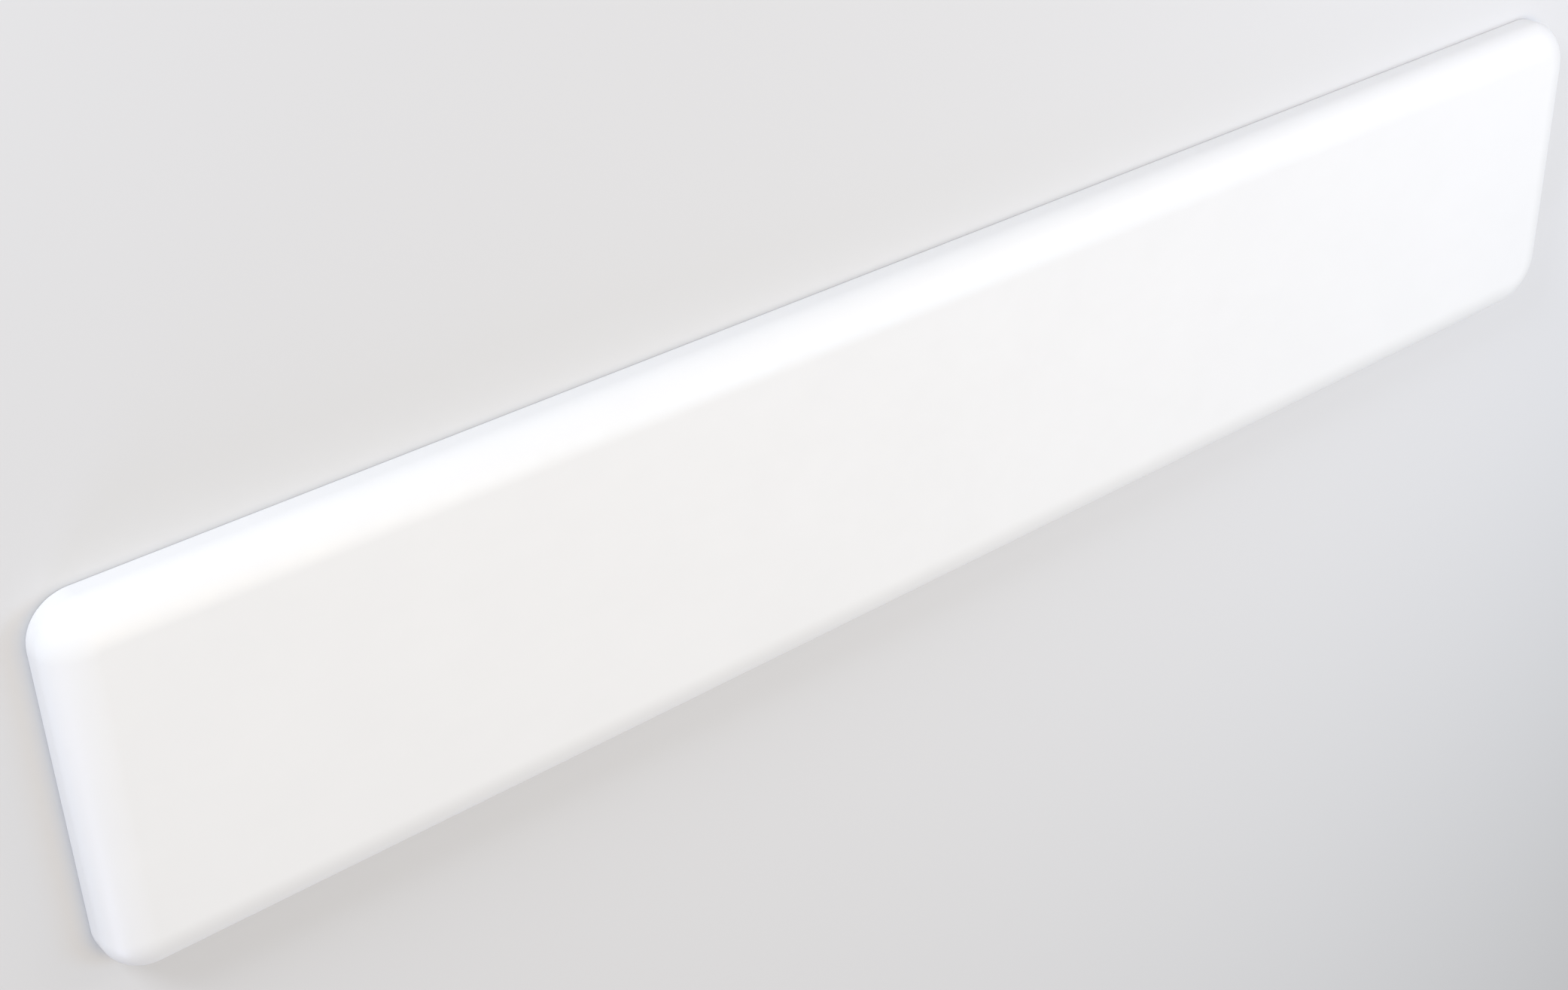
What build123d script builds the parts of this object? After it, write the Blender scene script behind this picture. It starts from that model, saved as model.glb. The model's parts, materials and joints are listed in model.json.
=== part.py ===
from build123d import *
import os

# Springboard for a home pool, lying as it is installed: +Z up, +X from the tail towards the nose.
# The origin is at the centre of the underside. All sizes are in millimetres.

os.makedirs("parts", exist_ok=True)

# --- Outer form -------------------------------------------------------------------------------
board_length = 2438.4
board_width = 457.2
board_thickness = 57.15
roll_width = 50.8               # how far the rounded edge reaches in over the top
roll_height = 38.1              # how far the rounded edge reaches down the side
tail_flat_radius = 2.2          # corner of the flat top inside the roll, at the tail
nose_flat_radius = 25.4         # the same at the nose

# --- Skins and seal ---------------------------------------------------------------------------
cover_thickness = 3.2
upper_laminate_thickness = 2.0
lower_laminate_thickness = 3.0
seal_width = 5.0
seal_recess = 0.5               # how far the sealant stays up from the underside

# --- Wooden core ------------------------------------------------------------------------------
stringer_count = 9
rail_joint_from_roll = 6.35     # inner face of an edge rail, from the start of the roll

# --- Fixings, used once at the tail and once over the fulcrum ---------------------------------
fixing_from_roll = 25.4         # bolt line, from the start of the roll along the side
anchor_from_roll = 25.4         # anchor row, from the start of the roll at the tail
fulcrum_from_anchor = 762.0
bolt_hole_radius = 6.5
bolt_hole_depth = 38.0
barrel_radius = 10.0
head_width = 32.0
head_height = 4.0
head_corner_radius = 5.0
plate_from_roll = 3.0           # end of a plate, from the start of the roll
plate_width = 48.0              # along the board
plate_thickness = 8.0
plate_corner_radius = 8.0
bedding_gap = 0.2               # adhesive round a plate, a head or a barrel

# --- Sizes that follow ------------------------------------------------------------------------
laminate_inset = cover_thickness
core_inset = cover_thickness + upper_laminate_thickness
core_floor = lower_laminate_thickness
core_top = board_thickness - core_inset
tail_corner_radius = roll_width + tail_flat_radius
nose_corner_radius = roll_width + nose_flat_radius
rail_joint_from_side = roll_width + rail_joint_from_roll
stringer_block_width = board_width - 2 * rail_joint_from_side
stringer_width = stringer_block_width / stringer_count
skin_inset = cover_thickness + seal_width
fixing_spacing = board_width - 2 * (roll_width + fixing_from_roll)
plate_length = board_width - 2 * (roll_width + plate_from_roll)
plate_bottom = core_top - plate_thickness
head_bottom = core_top - head_height
anchor_x = roll_width + anchor_from_roll - board_length / 2
fulcrum_x = anchor_x + fulcrum_from_anchor
fixing_rows = {"anchor": anchor_x, "fulcrum": fulcrum_x}


def upright_plane(x, y, outward):
    """A vertical plane at x, y whose local x points outward and whose local y points up."""
    return Plane(origin=(x, y, 0), x_dir=(outward[0], outward[1], 0), z_dir=(outward[1], -outward[0], 0))


def edge_section(plane, reach, inset, floor):
    """Half of a section through the board, out to its side, with the elliptical roll at the top."""
    top = board_thickness - inset
    roll_start = board_thickness - roll_height
    roll_in = roll_width - inset
    roll_down = roll_height - inset
    with BuildSketch(plane) as section:
        with BuildLine():
            Polyline((0, top), (0, floor), (reach, floor), (reach, roll_start))
            EllipticalCenterArc((reach - roll_in, roll_start), roll_in, roll_down, arc_size=90)
            Line((reach - roll_in, top), (0, top))
        make_face()
    return section.sketch


def rolled_block(inset, floor):
    """The solid that lies inside the board's top and sides by inset, and stands on floor."""
    tail_x = tail_corner_radius - board_length / 2
    nose_x = board_length / 2 - nose_corner_radius
    tail_y = board_width / 2 - tail_corner_radius
    nose_y = board_width / 2 - nose_corner_radius
    tail_reach = tail_corner_radius - inset
    nose_reach = nose_corner_radius - inset
    corners = [
        (nose_x, nose_y, (1, 0), nose_reach),
        (tail_x, tail_y, (0, 1), tail_reach),
        (tail_x, -tail_y, (-1, 0), tail_reach),
        (nose_x, -nose_y, (0, -1), nose_reach),
    ]
    straight_runs = [
        (tail_x, 0, (0, 1), board_width / 2 - inset, nose_x - tail_x),
        (nose_x, 0, (0, -1), board_width / 2 - inset, nose_x - tail_x),
        (tail_x, -tail_y, (-1, 0), tail_reach, 2 * tail_y),
        (nose_x, nose_y, (1, 0), nose_reach, 2 * nose_y),
    ]
    with BuildPart() as block:
        for x, y, outward, reach, run in straight_runs:
            extrude(edge_section(upright_plane(x, y, outward), reach, inset, floor), amount=run)
        for x, y, outward, reach in corners:
            section = edge_section(upright_plane(x, y, outward), reach, inset, floor)
            revolve(section, axis=Axis((x, y, 0), (0, 0, 1)), revolution_arc=90)
    return block.part


def board_outline(inset):
    """The board's plan, set in from its sides by inset."""
    with BuildSketch() as outline:
        Rectangle(board_length - 2 * inset, board_width - 2 * inset)
        fillet(outline.vertices().group_by(Axis.X)[0], tail_corner_radius - inset)
        fillet(outline.vertices().group_by(Axis.X)[-1], nose_corner_radius - inset)
    return outline.sketch


def fixing_points(row_x):
    """The two bolt positions of a fixing row."""
    return Locations((row_x, -fixing_spacing / 2), (row_x, fixing_spacing / 2))


def finish(sub_part, name):
    """Name a finished sub-part and write it."""
    sub_part.label = name
    export_step(sub_part, f"parts/{name}.step")


outer_block = rolled_block(0, 0)
cover_cavity = rolled_block(laminate_inset, 0)
laminate_block = rolled_block(laminate_inset, core_floor)
core_block = rolled_block(core_inset, core_floor)

# --- Cover: moulded top, rolled edges and side walls, open below ------------------------------
with BuildPart() as cover_shell:
    add(outer_block)
    add(cover_cavity, mode=Mode.SUBTRACT)
finish(cover_shell.part, "cover_shell")

# --- Upper laminate: the glass-fibre layer between the cover and the core ----------------------
with BuildPart() as upper_laminate:
    add(laminate_block)
    add(core_block, mode=Mode.SUBTRACT)
finish(upper_laminate.part, "upper_laminate")

# --- Space that the fixings take out of the core ----------------------------------------------
with BuildPart() as fixing_pockets:
    for row_x in fixing_rows.values():
        with BuildSketch(Plane.XY.offset(plate_bottom)):
            with Locations((row_x, 0)):
                RectangleRounded(
                    plate_width + 2 * bedding_gap,
                    plate_length + 2 * bedding_gap,
                    plate_corner_radius + bedding_gap,
                )
        extrude(amount=plate_thickness)
        with BuildSketch(Plane.XY.offset(core_floor)):
            with fixing_points(row_x):
                Circle(barrel_radius + bedding_gap)
        extrude(amount=plate_bottom - core_floor)

# --- Core: nine straight stringers between two shaped edge rails -------------------------------
for number in range(1, stringer_count + 1):
    stringer_y = stringer_block_width / 2 - (number - 0.5) * stringer_width
    with BuildPart() as core_stringer:
        add(core_block)
        with Locations((0, stringer_y, board_thickness / 2)):
            Box(board_length, stringer_width, board_thickness, mode=Mode.INTERSECT)
        add(fixing_pockets.part, mode=Mode.SUBTRACT)
    finish(core_stringer.part, f"core_stringer_{number}")

for side, name in ((1, "edge_rail_left"), (-1, "edge_rail_right")):
    rail_y = side * (stringer_block_width + rail_joint_from_side) / 2
    with BuildPart() as edge_rail:
        add(core_block)
        with Locations((0, rail_y, board_thickness / 2)):
            Box(board_length, rail_joint_from_side, board_thickness, mode=Mode.INTERSECT)
        add(fixing_pockets.part, mode=Mode.SUBTRACT)
    finish(edge_rail.part, name)

# --- Lower laminate: the flat glass-fibre skin of the underside -------------------------------
with BuildPart() as lower_laminate:
    with BuildSketch():
        add(board_outline(skin_inset))
        for row_x in fixing_rows.values():
            with fixing_points(row_x):
                Circle(barrel_radius + bedding_gap, mode=Mode.SUBTRACT)
    extrude(amount=lower_laminate_thickness)
finish(lower_laminate.part, "lower_laminate")

# --- Edge seal: sealant in the joint between the cover's wall and the lower laminate ----------
with BuildPart() as edge_seal:
    with BuildSketch(Plane.XY.offset(seal_recess)):
        add(board_outline(cover_thickness))
        add(board_outline(skin_inset), mode=Mode.SUBTRACT)
    extrude(amount=lower_laminate_thickness - seal_recess)
finish(edge_seal.part, "edge_seal")

# --- Fixings: a load-spreading plate let into the core, and two captive nuts through it -------
for row_name, row_x in fixing_rows.items():
    with BuildPart() as fixing_plate:
        with BuildSketch(Plane.XY.offset(plate_bottom)):
            with Locations((row_x, 0)):
                RectangleRounded(plate_width, plate_length, plate_corner_radius)
        extrude(amount=plate_thickness)
        with BuildSketch(Plane.XY.offset(plate_bottom)):
            with fixing_points(row_x):
                Circle(barrel_radius + bedding_gap)
        extrude(amount=plate_thickness - head_height, mode=Mode.SUBTRACT)
        with BuildSketch(Plane.XY.offset(head_bottom)):
            with fixing_points(row_x):
                RectangleRounded(
                    head_width + 2 * bedding_gap,
                    head_width + 2 * bedding_gap,
                    head_corner_radius + bedding_gap,
                )
        extrude(amount=head_height, mode=Mode.SUBTRACT)
    finish(fixing_plate.part, f"{row_name}_plate")

    with BuildPart() as captive_nuts:
        with BuildSketch():
            with fixing_points(row_x):
                Circle(barrel_radius)
        extrude(amount=head_bottom)
        with BuildSketch(Plane.XY.offset(head_bottom)):
            with fixing_points(row_x):
                RectangleRounded(head_width, head_width, head_corner_radius)
        extrude(amount=head_height)
        with BuildSketch():
            with fixing_points(row_x):
                Circle(bolt_hole_radius)
        extrude(amount=bolt_hole_depth, mode=Mode.SUBTRACT)
    finish(captive_nuts.part, f"{row_name}_captive_nuts")
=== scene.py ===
import json
import math

import bmesh
import bpy
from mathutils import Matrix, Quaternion, Vector, noise


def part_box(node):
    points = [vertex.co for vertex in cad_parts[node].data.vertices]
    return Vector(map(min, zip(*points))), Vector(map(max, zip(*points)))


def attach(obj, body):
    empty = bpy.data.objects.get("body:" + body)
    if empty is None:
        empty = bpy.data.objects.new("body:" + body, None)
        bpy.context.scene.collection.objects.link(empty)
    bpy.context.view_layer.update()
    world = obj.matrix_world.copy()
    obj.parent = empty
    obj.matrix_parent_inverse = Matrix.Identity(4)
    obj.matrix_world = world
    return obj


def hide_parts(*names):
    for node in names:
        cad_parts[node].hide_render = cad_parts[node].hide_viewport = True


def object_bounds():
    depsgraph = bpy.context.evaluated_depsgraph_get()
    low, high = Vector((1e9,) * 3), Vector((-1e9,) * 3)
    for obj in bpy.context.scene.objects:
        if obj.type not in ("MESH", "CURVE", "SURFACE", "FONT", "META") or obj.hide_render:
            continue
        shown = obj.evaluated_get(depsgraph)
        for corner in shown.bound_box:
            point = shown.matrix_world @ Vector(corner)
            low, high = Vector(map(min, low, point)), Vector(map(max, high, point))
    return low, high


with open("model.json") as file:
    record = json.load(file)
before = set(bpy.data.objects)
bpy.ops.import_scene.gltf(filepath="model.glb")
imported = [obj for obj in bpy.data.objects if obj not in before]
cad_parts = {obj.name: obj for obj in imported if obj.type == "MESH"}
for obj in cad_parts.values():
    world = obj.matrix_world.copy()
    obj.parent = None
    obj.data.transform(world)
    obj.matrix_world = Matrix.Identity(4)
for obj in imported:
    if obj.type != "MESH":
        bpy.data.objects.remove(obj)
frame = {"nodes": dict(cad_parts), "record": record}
cad_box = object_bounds()
nodes = frame["nodes"]
mounts = {mount["name"]: mount for mount in frame["record"]["mounts"]}
MM = 0.001
UP = Vector((0, 0, 1))

# --- The board's form, as in the CAD model (metres) --------------------------------------------
LENGTH = cad_box[1][0] - cad_box[0][0]
WIDTH = cad_box[1][1] - cad_box[0][1]
THICKNESS = cad_box[1][2] - cad_box[0][2]
ROLL_WIDTH = 50.8 * MM
ROLL_HEIGHT = 38.1 * MM
TAIL_RADIUS = 53.0 * MM
NOSE_RADIUS = 76.2 * MM
COVER_THICKNESS = 3.2 * MM
RIM_ROUNDING = 1.6 * MM             # of the wall's foot, which is sharp in the CAD model
RIM_STEPS = 4
WALL_RINGS = (0.4, 0.99)            # as shares of the upright wall's height
OUTER_ROLL_STEPS = 24
INNER_ROLL_STEPS = 12
FLAT_MARGIN = 1.5 * MM              # a last ring past the roll keeps the flat's shading flat
CORNER_STEPS = 28

# --- Sealant bead between the cover's wall and the lower laminate ------------------------------
seal_low, seal_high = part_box("edge_seal")
laminate_low, laminate_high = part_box("lower_laminate")
SEAL_WIDTH = laminate_low.x - seal_low.x
SEAL_HOLLOW = 0.9 * MM
SEAL_HOLLOW_STEPS = 8
SEAL_RIPPLE = 0.25 * MM
SEAL_RIPPLES_PER_METRE = 45
SEAL_STEP = 10 * MM
SEAL_SHARP_ANGLE = math.radians(50)

# --- Captive nuts -----------------------------------------------------------------------------
THREAD_PITCH = 1.75 * MM
THREAD_DEPTH = 0.9 * MM
THREAD_LENGTH = 32 * MM
THREAD_ROWS_PER_TURN = 10
THREAD_RUN_IN_ROWS = 8
THREAD_RUN_OUT_ROWS = 16
THREAD_REACH = 1.35                 # a tooth's height, cut off at 0 and at 1, is this reach less
THREAD_SLOPE = 3.4                  # this slope times the distance from its middle, in pitches
BORE_DEPTH = 38 * MM
BARREL_RADIUS = 10 * MM
HEAD_HEIGHT = 4 * MM
HEAD_CORNER = 5 * MM
EDGE_BREAK = 0.6 * MM
KNURL_DEPTH = 0.35 * MM
KNURL_TEETH = 30
KNURL_TILT = math.tan(math.radians(30))
KNURL_ROWS = 40
KNURL_BELOW_HEAD = 3 * MM
KNURL_ABOVE_BASE = 6 * MM
NUT_STEPS = 120
NUT_SHARP_ANGLE = math.radians(32)

# --- Wood: how the cut through the tree moves from one piece to the next -----------------------
CUT_TURN = math.radians(137.5)
CUT_STEP_ALONG = 0.37
CUT_SWING = (0.09, 0.06)
CUT_HEIGHT = 0.05
WARMTH_SWING = 0.1
WARMTH_TURN = 2.4

# --- Floor ------------------------------------------------------------------------------------
FLOOR_SIZE = 40
FLOOR_GAP = 0.1 * MM                # keeps the floor off the faces of the underside

# --- Camera -----------------------------------------------------------------------------------
CAMERA_TARGET = Vector((-0.3227, 0.0184, 0.0572))
CAMERA_DISTANCE = 2.822
CAMERA_AZIMUTH = math.radians(-133.532)
CAMERA_ELEVATION = math.radians(42.269)
CAMERA_ROLL = math.radians(120.696)
CAMERA_LENS = 54.678
SENSOR_WIDTH = 36


# --- Mesh helpers -----------------------------------------------------------------------------
def plan_ring(inset, height, straight_step=None):
    """Points round the board's plan, set in by inset, each with the outward direction there."""
    corners = (
        (1, 1, 0, NOSE_RADIUS),
        (-1, 1, 90, TAIL_RADIUS),
        (-1, -1, 180, TAIL_RADIUS),
        (1, -1, 270, NOSE_RADIUS),
    )
    arcs = []
    for side_x, side_y, start, radius in corners:
        centre = Vector((side_x * (LENGTH / 2 - radius), side_y * (WIDTH / 2 - radius), height))
        arc = []
        for step in range(CORNER_STEPS + 1):
            angle = math.radians(start + 90 * step / CORNER_STEPS)
            outward = Vector((math.cos(angle), math.sin(angle), 0))
            arc.append((centre + outward * (radius - inset), outward))
        arcs.append(arc)
    points = []
    for arc, following in zip(arcs, arcs[1:] + arcs[:1]):
        points.extend(arc)
        begin, outward = arc[-1]
        end = following[0][0]
        if straight_step:
            count = math.ceil((end - begin).length / straight_step)
            points.extend((begin.lerp(end, step / count), outward) for step in range(1, count))
    return points


def ring_faces(lower, upper):
    """The quads between two rings with the same number of corners."""
    count = len(lower)
    for i in range(count):
        j = (i + 1) % count
        yield lower[i], lower[j], upper[j], upper[i]


def add_object(name, mesh, material, node):
    """Put a new piece in the scene, in place of a CAD node."""
    piece = bpy.data.objects.new(name, mesh)
    bpy.context.collection.objects.link(piece)
    mesh.materials.append(material)
    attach(piece, "root")
    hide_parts(node)
    return piece


# --- Cover --------------------------------------------------------------------------------------
def cover_profile(inset, roll_steps, rounding):
    """(inset, height, outward and upward part of the normal) from the rim to the flat top."""
    profile = []
    if rounding:
        for step in range(RIM_STEPS + 1):
            angle = math.radians(-90 + 90 * step / RIM_STEPS)
            out, up = math.cos(angle), math.sin(angle)
            profile.append((inset + rounding * (1 - out), rounding * (1 + up), out, up))
    else:
        profile.append((inset, 0.0, 1.0, 0.0))
    wall_height = THICKNESS - ROLL_HEIGHT
    for share in WALL_RINGS:
        profile.append((inset, wall_height * share, 1.0, 0.0))
    across = ROLL_WIDTH - inset
    down = ROLL_HEIGHT - inset
    for step in range(roll_steps + 1):
        angle = math.pi / 2 * step / roll_steps
        out, up = math.cos(angle), math.sin(angle)
        profile.append((ROLL_WIDTH - across * out, wall_height + down * up, out / across, up / down))
    profile.append((ROLL_WIDTH + FLAT_MARGIN, THICKNESS - inset, 0.0, 1.0))
    return profile


def build_cover():
    """The moulded cover: outer surface, rounded rim and inner surface as one closed shell."""
    bm = bmesh.new()
    faces = []

    def add_surface(profile, facing):
        """Add a surface that faces out (1) or in (-1), and return its lowest ring."""
        rings = []
        for inset, height, out, up in profile:
            scale = facing / math.hypot(out, up)
            ring = []
            for point, outward in plan_ring(inset, height):
                ring.append((bm.verts.new(point), (outward * out + UP * up) * scale))
            rings.append(ring)
        for lower, upper in zip(rings, rings[1:]):
            faces.extend(quad[::facing] for quad in ring_faces(lower, upper))
        faces.append(tuple(rings[-1])[::facing])
        return rings[0]

    outer_rim = add_surface(cover_profile(0.0, OUTER_ROLL_STEPS, RIM_ROUNDING), 1)
    inner_rim = add_surface(cover_profile(COVER_THICKNESS, INNER_ROLL_STEPS, 0.0), -1)
    for corners in ring_faces(inner_rim, outer_rim):
        faces.append(tuple((vertex, -UP) for vertex, normal in corners))
    normals = []
    for corners in faces:
        bm.faces.new([vertex for vertex, normal in corners]).smooth = True
        normals.extend(tuple(normal) for vertex, normal in corners)
    mesh = bpy.data.meshes.new("moulded_cover")
    bm.to_mesh(mesh)
    bm.free()
    mesh.normals_split_custom_set(normals)
    return mesh


# --- Sealant bead -------------------------------------------------------------------------------
def build_seal():
    """A tooled bead: bonded to both walls, hollowed between them, with a slight hand-made ripple."""
    bottom, top = seal_low.z, seal_high.z
    section = [(0.0, top, 0.0)]
    for step in range(SEAL_HOLLOW_STEPS + 1):
        share = step / SEAL_HOLLOW_STEPS
        section.append((share * SEAL_WIDTH, bottom, math.sin(math.pi * share)))
    section.append((SEAL_WIDTH, top, 0.0))
    bm = bmesh.new()
    rings = []
    for across, height, hollow in section:
        ring = []
        for point, outward in plan_ring(COVER_THICKNESS + across, height, SEAL_STEP):
            place = Vector((point.x, point.y, 0)) * SEAL_RIPPLES_PER_METRE
            ripple = noise.noise(place) * SEAL_RIPPLE
            ring.append(bm.verts.new(point + UP * hollow * (SEAL_HOLLOW + ripple)))
        rings.append(ring)
    for inner, outer in zip(rings, rings[1:] + rings[:1]):
        for quad in ring_faces(inner, outer):
            bm.faces.new(quad).smooth = True
    bmesh.ops.recalc_face_normals(bm, faces=bm.faces)
    mesh = bpy.data.meshes.new("tooled_seal_bead")
    bm.to_mesh(mesh)
    bm.free()
    mesh.set_sharp_from_angle(angle=SEAL_SHARP_ANGLE)
    return mesh


# --- Captive nuts -------------------------------------------------------------------------------
def circle(radius):
    """The same radius at every angle."""
    return lambda angle: radius


def rounded_square(half, corner):
    """Distance from the centre to the side of a square with rounded corners, by angle."""
    def radius(angle):
        folded = math.radians(45) - abs(math.radians(45) - angle % math.radians(90))
        flat_end = math.atan2(half - corner, half)
        if folded <= flat_end:
            return half / math.cos(folded)
        reach = (half - corner) * math.sqrt(2)
        off = math.radians(45) - folded
        return reach * math.cos(off) + math.sqrt(corner**2 - (reach * math.sin(off)) ** 2)
    return radius


def knurled(height, strength):
    """The barrel's radius by angle: two crossing sets of slanted grooves."""
    def radius(angle):
        twist = height * KNURL_TILT / BARREL_RADIUS
        first = abs(math.sin(KNURL_TEETH / 2 * (angle + twist)))
        second = abs(math.sin(KNURL_TEETH / 2 * (angle - twist)))
        return BARREL_RADIUS - KNURL_DEPTH * strength * (1 - min(first, second))
    return radius


def threaded(depth, bore_radius, strength):
    """The bore's radius by angle: a 60-degree thread with flat crests and roots."""
    def radius(angle):
        phase = (depth / THREAD_PITCH - angle / math.tau) % 1.0
        tooth = min(1.0, max(0.0, THREAD_REACH - abs(phase - 0.5) * THREAD_SLOPE))
        return bore_radius - THREAD_DEPTH * strength * tooth
    return radius


def nut_rings(bore_radius, half_head, top):
    """(height, radius by angle) from the middle of the head's top, round the nut, to the bore's end."""
    head_bottom = top - HEAD_HEIGHT
    rings = [
        (top, circle(BARREL_RADIUS)),
        (top, rounded_square(half_head - EDGE_BREAK, HEAD_CORNER - EDGE_BREAK)),
        (top - EDGE_BREAK, rounded_square(half_head, HEAD_CORNER)),
        (head_bottom + EDGE_BREAK, rounded_square(half_head, HEAD_CORNER)),
        (head_bottom, rounded_square(half_head - EDGE_BREAK, HEAD_CORNER - EDGE_BREAK)),
        (head_bottom, circle(BARREL_RADIUS - KNURL_DEPTH)),
    ]
    knurl_top = head_bottom - KNURL_BELOW_HEAD
    for row in range(KNURL_ROWS + 1):
        height = knurl_top + (KNURL_ABOVE_BASE - knurl_top) * row / KNURL_ROWS
        strength = 0.0 if row in (0, KNURL_ROWS) else 1.0
        rings.append((height, knurled(height, strength)))
    rings.append((EDGE_BREAK, circle(BARREL_RADIUS)))
    rings.append((0.0, circle(BARREL_RADIUS - EDGE_BREAK)))
    rings.append((0.0, circle(bore_radius + EDGE_BREAK)))
    rings.append((EDGE_BREAK, circle(bore_radius)))
    thread_start = 2 * EDGE_BREAK
    thread_rows = round(THREAD_LENGTH / THREAD_PITCH * THREAD_ROWS_PER_TURN)
    for row in range(thread_rows + 1):
        depth = thread_start + (THREAD_LENGTH - thread_start) * row / thread_rows
        run_out = (thread_rows - row) / THREAD_RUN_OUT_ROWS
        strength = min(1.0, row / THREAD_RUN_IN_ROWS, run_out)
        rings.append((depth, threaded(depth, bore_radius, strength)))
    rings.append((BORE_DEPTH, circle(bore_radius)))
    return rings


def build_nuts(node, mount, name):
    """The captive nuts of one fixing row, each a closed shell with a threaded blind bore."""
    low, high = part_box(node)
    spacing = mount["dims"]["spacing_y_mm"] * MM
    bore_radius = mount["dims"]["hole_r_mm"] * MM
    half_head = (high.x - low.x) / 2
    bm = bmesh.new()
    for side in (-1, 1):
        centre = Vector((mount["pos_m"][0], side * spacing / 2, 0))
        rings = []
        for height, radius in nut_rings(bore_radius, half_head, high.z):
            ring = []
            for step in range(NUT_STEPS):
                angle = math.tau * step / NUT_STEPS
                across = Vector((math.cos(angle), math.sin(angle), 0)) * radius(angle)
                ring.append(bm.verts.new(centre + across + UP * height))
            rings.append(ring)
        for upper, lower in zip(rings, rings[1:]):
            for quad in ring_faces(lower, upper):
                bm.faces.new(quad).smooth = True
        bm.faces.new(rings[0])
        bm.faces.new(rings[-1][::-1])
    mesh = bpy.data.meshes.new(name)
    bm.to_mesh(mesh)
    bm.free()
    mesh.set_sharp_from_angle(angle=NUT_SHARP_ANGLE)
    return mesh


# --- Materials ----------------------------------------------------------------------------------
class Shader:
    """A Principled material whose nodes are added by short calls. Positions are in metres."""

    def __init__(self, name, roughness, metallic=0.0, ior=1.5):
        self.material = bpy.data.materials.new(name)
        self.material.use_nodes = True
        self.tree = self.material.node_tree
        self.surface = self.tree.nodes["Principled BSDF"]
        self.surface.inputs["Roughness"].default_value = roughness
        self.surface.inputs["Metallic"].default_value = metallic
        self.surface.inputs["IOR"].default_value = ior
        self.place = self.node("ShaderNodeTexCoord").outputs["Object"]

    def node(self, kind, **settings):
        made = self.tree.nodes.new(kind)
        for name, value in settings.items():
            setattr(made, name, value)
        return made

    def connect(self, source, target):
        if isinstance(source, (int, float)):
            target.default_value = source
        else:
            self.tree.links.new(source, target)

    def stretched(self, scale, turn=(0, 0, 0), shift=(0, 0, 0)):
        """The position, shifted, turned and scaled."""
        mapping = self.node("ShaderNodeMapping")
        mapping.inputs["Location"].default_value = shift
        mapping.inputs["Rotation"].default_value = turn
        mapping.inputs["Scale"].default_value = scale
        self.connect(self.place, mapping.inputs["Vector"])
        return mapping.outputs["Vector"]

    def noise(self, scale, detail=3.0, place=None, roughness=0.5):
        texture = self.node("ShaderNodeTexNoise")
        texture.inputs["Scale"].default_value = scale
        texture.inputs["Detail"].default_value = detail
        texture.inputs["Roughness"].default_value = roughness
        self.connect(place or self.place, texture.inputs["Vector"])
        return texture.outputs["Fac"]

    def wave(self, scale, place=None, distortion=0.0, **settings):
        texture = self.node("ShaderNodeTexWave", **settings)
        texture.inputs["Scale"].default_value = scale
        texture.inputs["Distortion"].default_value = distortion
        self.connect(place or self.place, texture.inputs["Vector"])
        return texture

    def math(self, operation, first, second):
        made = self.node("ShaderNodeMath", operation=operation)
        self.connect(first, made.inputs[0])
        self.connect(second, made.inputs[1])
        return made.outputs[0]

    def spread(self, value, low, high, start=0.0, end=1.0):
        """value from start to end becomes low to high."""
        made = self.node("ShaderNodeMapRange")
        made.inputs["From Min"].default_value = start
        made.inputs["From Max"].default_value = end
        made.inputs["To Min"].default_value = low
        made.inputs["To Max"].default_value = high
        self.connect(value, made.inputs["Value"])
        return made.outputs["Result"]

    def ramp(self, value, stops):
        """A colour ramp through stops of (place, colour), the lowest place first."""
        made = self.node("ShaderNodeValToRGB")
        elements = made.color_ramp.elements
        for (place, colour), element in zip((stops[0], stops[-1]), list(elements)):
            element.position = place
            element.color = (*colour, 1)
        for place, colour in stops[1:-1]:
            elements.new(place).color = (*colour, 1)
        self.connect(value, made.inputs["Fac"])
        return made.outputs["Color"]

    def mix(self, amount, first, second, blend="MIX"):
        made = self.node("ShaderNodeMix", data_type="RGBA", blend_type=blend)
        self.connect(amount, made.inputs[0])
        self.connect(first, made.inputs[6])
        self.connect(second, made.inputs[7])
        return made.outputs[2]

    def colour(self, source):
        self.connect(source, self.surface.inputs["Base Color"])

    def roughness(self, source):
        self.connect(source, self.surface.inputs["Roughness"])

    def bump(self, *layers):
        """Layers of (height from 0 to 1, depth in metres), one over another."""
        below = None
        for height, depth in layers:
            made = self.node("ShaderNodeBump")
            made.inputs["Distance"].default_value = depth
            self.connect(height, made.inputs["Height"])
            if below:
                self.connect(below, made.inputs["Normal"])
            below = made.outputs["Normal"]
        self.connect(below, self.surface.inputs["Normal"])


def cover_material():
    """Satin white moulded plastic: fine orange-peel, broad sink waves, faint milky mottling."""
    shader = Shader("satin_white_cover", roughness=0.42, ior=1.49)
    mottle = shader.noise(9, detail=4)
    peel = shader.noise(420, detail=2)
    shader.colour(shader.ramp(mottle, ((0.3, (0.775, 0.775, 0.768)), (0.7, (0.785, 0.785, 0.778)))))
    shader.roughness(shader.spread(shader.noise(35, detail=5), 0.36, 0.48, 0.3, 0.7))
    shader.bump((shader.noise(2.6, detail=1), 0.9 * MM), (peel, 0.035 * MM))
    return shader.material


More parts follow.
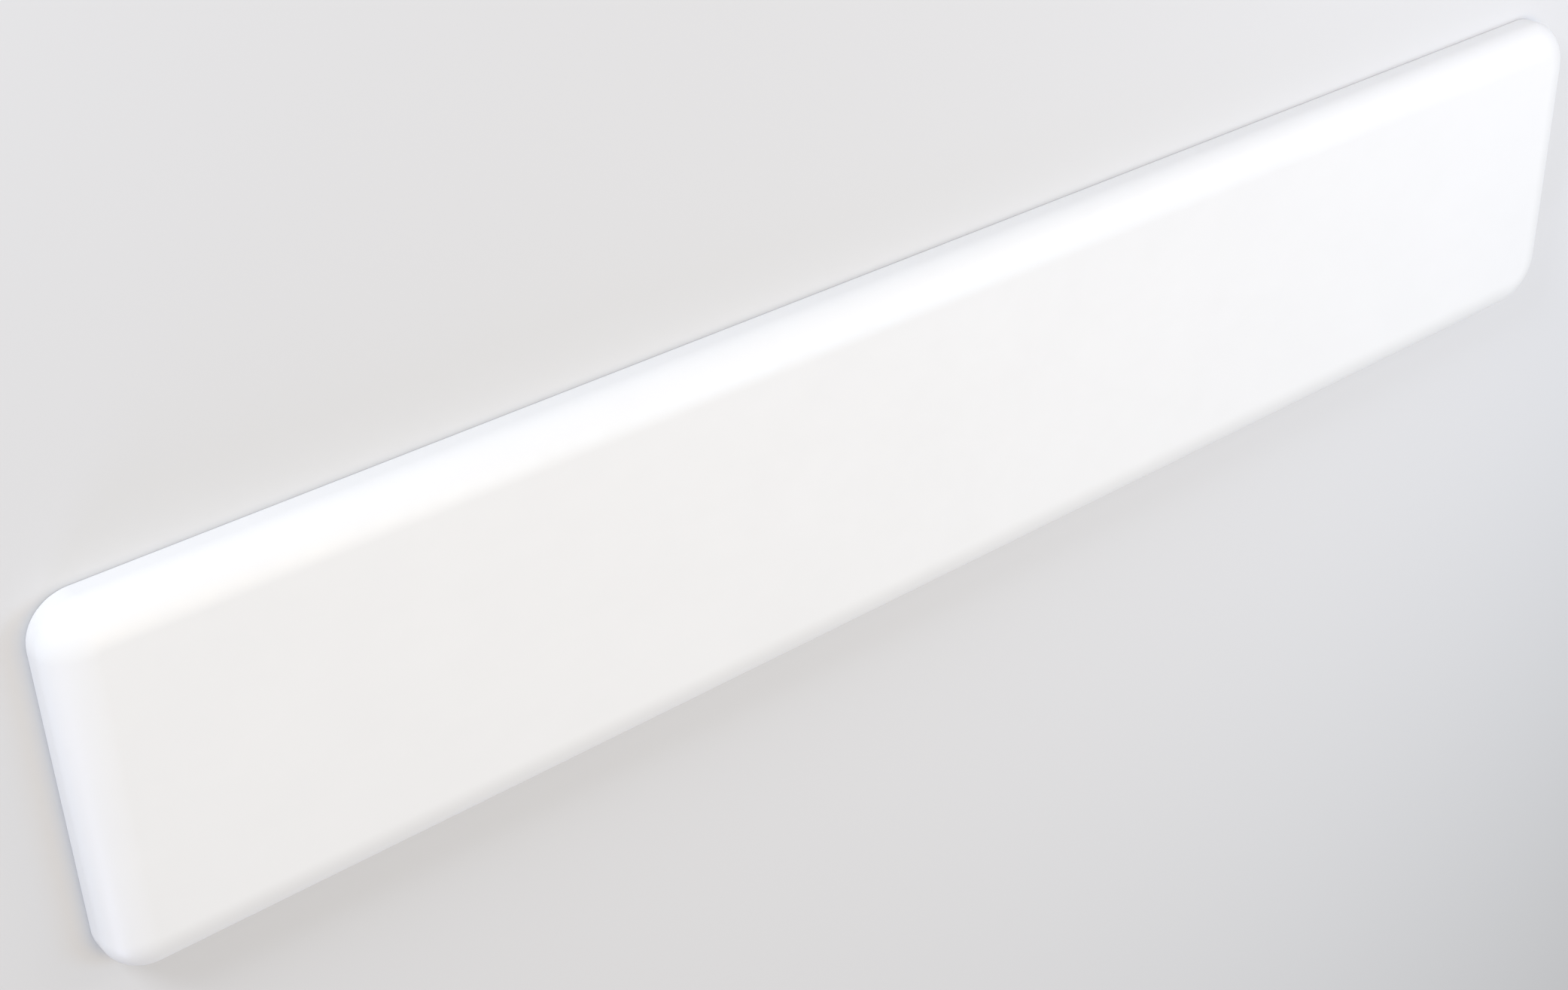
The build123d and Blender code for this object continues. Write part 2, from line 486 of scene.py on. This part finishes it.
def laminate_material():
    """Polyester and glass: greenish amber resin over woven roving."""
    shader = Shader("glass_fibre_laminate", roughness=0.3, ior=1.54)
    warp = shader.wave(105, wave_type="BANDS", bands_direction="X", distortion=0.6).outputs["Fac"]
    weft = shader.wave(105, wave_type="BANDS", bands_direction="Y", distortion=0.6).outputs["Fac"]
    weave = shader.math("MULTIPLY", warp, weft)
    strands = shader.noise(1.0, detail=3, place=shader.stretched((700, 60, 200)))
    wetting = shader.noise(14, detail=4)
    tone = shader.math("ADD", shader.math("MULTIPLY", weave, 0.5), shader.math("MULTIPLY", wetting, 0.5))
    stops = ((0.15, (0.42, 0.44, 0.26)), (0.45, (0.56, 0.58, 0.38)), (0.75, (0.66, 0.68, 0.50)))
    shader.colour(shader.ramp(tone, stops))
    shader.roughness(shader.spread(wetting, 0.2, 0.5, 0.3, 0.7))
    shader.bump((weave, 0.35 * MM), (strands, 0.08 * MM))
    return shader.material


def underside_material():
    """White flow coat brushed over woven roving, whose weave still shows through."""
    shader = Shader("flow_coated_underside", roughness=0.35, ior=1.53)
    warp = shader.wave(80, wave_type="BANDS", bands_direction="X", distortion=0.8).outputs["Fac"]
    weft = shader.wave(80, wave_type="BANDS", bands_direction="Y", distortion=0.8).outputs["Fac"]
    weave = shader.math("MULTIPLY", warp, weft)
    brushing = shader.noise(1.0, detail=4, place=shader.stretched((3, 160, 160)))
    cloud = shader.noise(6, detail=5)
    shader.colour(shader.ramp(cloud, ((0.3, (0.72, 0.72, 0.68)), (0.72, (0.80, 0.80, 0.77)))))
    shader.roughness(shader.spread(brushing, 0.26, 0.5, 0.3, 0.7))
    shader.bump((weave, 0.22 * MM), (brushing, 0.18 * MM), (shader.noise(55, detail=3), 0.12 * MM))
    return shader.material


def wood_material(name, shift, warmth):
    """Douglas fir, its grain along the board; shift moves the cut through the tree."""
    shader = Shader(name, roughness=0.55)
    cut = shader.stretched((0.12, 1, 1), turn=(0, 0.012, 0.02), shift=shift)
    pattern = {"wave_type": "RINGS", "rings_direction": "X", "wave_profile": "SAW"}
    rings = shader.wave(58, place=cut, distortion=1.6, **pattern)
    rings.inputs["Detail"].default_value = 2.0
    rings.inputs["Detail Scale"].default_value = 1.4
    pores = shader.noise(1.0, detail=4, place=shader.stretched((14, 900, 900)), roughness=0.65)
    stops = (
        (0.0, (0.66 * warmth, 0.43 * warmth, 0.235)),
        (0.62, (0.60 * warmth, 0.36 * warmth, 0.185)),
        (0.86, (0.47 * warmth, 0.24 * warmth, 0.11)),
        (1.0, (0.36 * warmth, 0.165 * warmth, 0.07)),
    )
    grain = shader.ramp(rings.outputs["Fac"], stops)
    flecks = shader.ramp(pores, ((0.36, (0.80, 0.76, 0.72)), (0.55, (1.0, 1.0, 1.0))))
    shader.colour(shader.mix(1.0, grain, flecks, "MULTIPLY"))
    shader.roughness(shader.spread(rings.outputs["Fac"], 0.62, 0.45))
    shader.bump((rings.outputs["Fac"], 0.12 * MM), (pores, 0.1 * MM))
    return shader.material


def sealant_material():
    """Tooled off-white sealant, softly sheened, with a little grime along the joint."""
    shader = Shader("off_white_sealant", roughness=0.5, ior=1.43)
    grime = shader.noise(28, detail=5)
    shader.colour(shader.ramp(grime, ((0.35, (0.60, 0.59, 0.55)), (0.62, (0.74, 0.74, 0.71)))))
    shader.roughness(shader.spread(grime, 0.62, 0.42, 0.3, 0.7))
    shader.bump((shader.noise(160, detail=3), 0.08 * MM))
    return shader.material


def plate_material():
    """Sawn aluminium plate, brushed along its length, with a few dull patches of bedding resin."""
    shader = Shader("brushed_aluminium_plate", roughness=0.35, metallic=1.0)
    brushing = shader.noise(1.0, detail=5, place=shader.stretched((2500, 18, 2500)), roughness=0.6)
    patches = shader.noise(30, detail=4)
    shader.colour(shader.ramp(patches, ((0.35, (0.58, 0.585, 0.59)), (0.6, (0.76, 0.765, 0.77)))))
    brushed = shader.spread(brushing, 0.24, 0.46, 0.3, 0.7)
    dulled = shader.spread(patches, 0.1, 0.0, 0.3, 0.6)
    shader.roughness(shader.math("ADD", brushed, dulled))
    shader.bump((brushing, 0.02 * MM))
    return shader.material


def nut_material():
    """Stainless steel: turned rings round the barrel, and a cloudy, slightly warm surface."""
    shader = Shader("stainless_nut", roughness=0.3, metallic=1.0)
    cloud = shader.noise(140, detail=4)
    turning = shader.noise(1.0, detail=2, place=shader.stretched((40, 40, 4200)))
    shader.colour(shader.ramp(cloud, ((0.35, (0.56, 0.55, 0.51)), (0.65, (0.70, 0.70, 0.68)))))
    shader.roughness(shader.spread(cloud, 0.42, 0.24, 0.3, 0.7))
    shader.bump((turning, 0.015 * MM))
    return shader.material


def floor_material():
    """Plain pale grey, without gloss."""
    shader = Shader("pale_floor", roughness=0.9)
    shader.surface.inputs["Base Color"].default_value = (0.66, 0.66, 0.66, 1)
    shader.surface.inputs["Specular IOR Level"].default_value = 0.0
    return shader.material


# --- The object ---------------------------------------------------------------------------------
add_object("moulded_cover", build_cover(), cover_material(), "cover_shell")
add_object("tooled_seal_bead", build_seal(), sealant_material(), "edge_seal")
nut_steel = nut_material()
for row in ("anchor", "fulcrum"):
    node = f"{row}_captive_nuts"
    name = f"{row}_threaded_nuts"
    add_object(name, build_nuts(node, mounts[f"{row}_bolts"], name), nut_steel, node)


def repaint(node, material):
    """Give a CAD node its material; its mesh stays as it is."""
    for material_slot in nodes[node].material_slots:
        material_slot.material = material


repaint("upper_laminate", laminate_material())
repaint("lower_laminate", underside_material())
plate_aluminium = plate_material()
for row in ("anchor", "fulcrum"):
    repaint(f"{row}_plate", plate_aluminium)
wooden_nodes = sorted(name for name in nodes if name.startswith(("core_stringer", "edge_rail")))
for number, name in enumerate(wooden_nodes):
    turn = CUT_TURN * number
    shift = (
        CUT_STEP_ALONG * number,
        CUT_SWING[0] * math.cos(turn),
        CUT_HEIGHT + CUT_SWING[1] * math.sin(turn),
    )
    warmth = 1.0 + WARMTH_SWING * math.sin(WARMTH_TURN * number)
    repaint(name, wood_material(f"douglas_fir_{number + 1}", shift, warmth))

# --- Floor, light and camera --------------------------------------------------------------------
bpy.ops.mesh.primitive_plane_add(size=FLOOR_SIZE, location=(0, 0, cad_box[0][2] - FLOOR_GAP))
floor = bpy.context.object
floor.name = "floor"
floor.data.materials.append(floor_material())


def area_light(name, place, aim, size, power, colour):
    """A square light at place, turned to aim."""
    data = bpy.data.lights.new(name, "AREA")
    data.shape = "SQUARE"
    data.size = size
    data.energy = power
    data.color = colour
    light = bpy.data.objects.new(name, data)
    light.location = place
    light.rotation_euler = (Vector(aim) - Vector(place)).to_track_quat("-Z", "Y").to_euler()
    bpy.context.collection.objects.link(light)


MIDDLE = (0, 0, 0.05)
area_light("key_along_left_side", (-3.04, 2.96, 1.1), MIDDLE, 1.2, 102, (0.84, 0.89, 1.0))
area_light("fill_on_right_side", (-3.87, -3.87, 1.16), MIDDLE, 1.6, 53, (0.63, 0.69, 1.0))
area_light("cool_window_past_nose", (1.75, 0, 3.03), MIDDLE, 1.5, 35.6, (0.49, 0.71, 1.0))
area_light("warm_lamp_overhead", (0, 0, 3.5), MIDDLE, 2.0, 36.5, (1.0, 0.75, 0.41))
area_light("near_nose", (1.8, 0.9, 1.6), (0.6, 0, 0.05), 1.0, 11.7, (0.98, 0.93, 1.0))

world = bpy.data.worlds.new("studio")
world.use_nodes = True
background = world.node_tree.nodes["Background"]
background.inputs["Color"].default_value = (1.0, 1.0, 1.0, 1)
background.inputs["Strength"].default_value = 0.55

scene = bpy.context.scene
scene.world = world
scene.view_settings.view_transform = "Standard"
camera_data = bpy.data.cameras.new("camera")
camera_data.lens = CAMERA_LENS
camera_data.sensor_width = SENSOR_WIDTH
camera = bpy.data.objects.new("camera", camera_data)
bpy.context.collection.objects.link(camera)
back = Vector((
    math.sin(CAMERA_AZIMUTH) * math.cos(CAMERA_ELEVATION),
    -math.cos(CAMERA_AZIMUTH) * math.cos(CAMERA_ELEVATION),
    math.sin(CAMERA_ELEVATION),
))
camera.location = CAMERA_TARGET + back * CAMERA_DISTANCE
camera.rotation_mode = "QUATERNION"
camera.rotation_quaternion = (-back).to_track_quat("-Z", "Y") @ Quaternion((0, 0, 1), CAMERA_ROLL)
scene.camera = camera
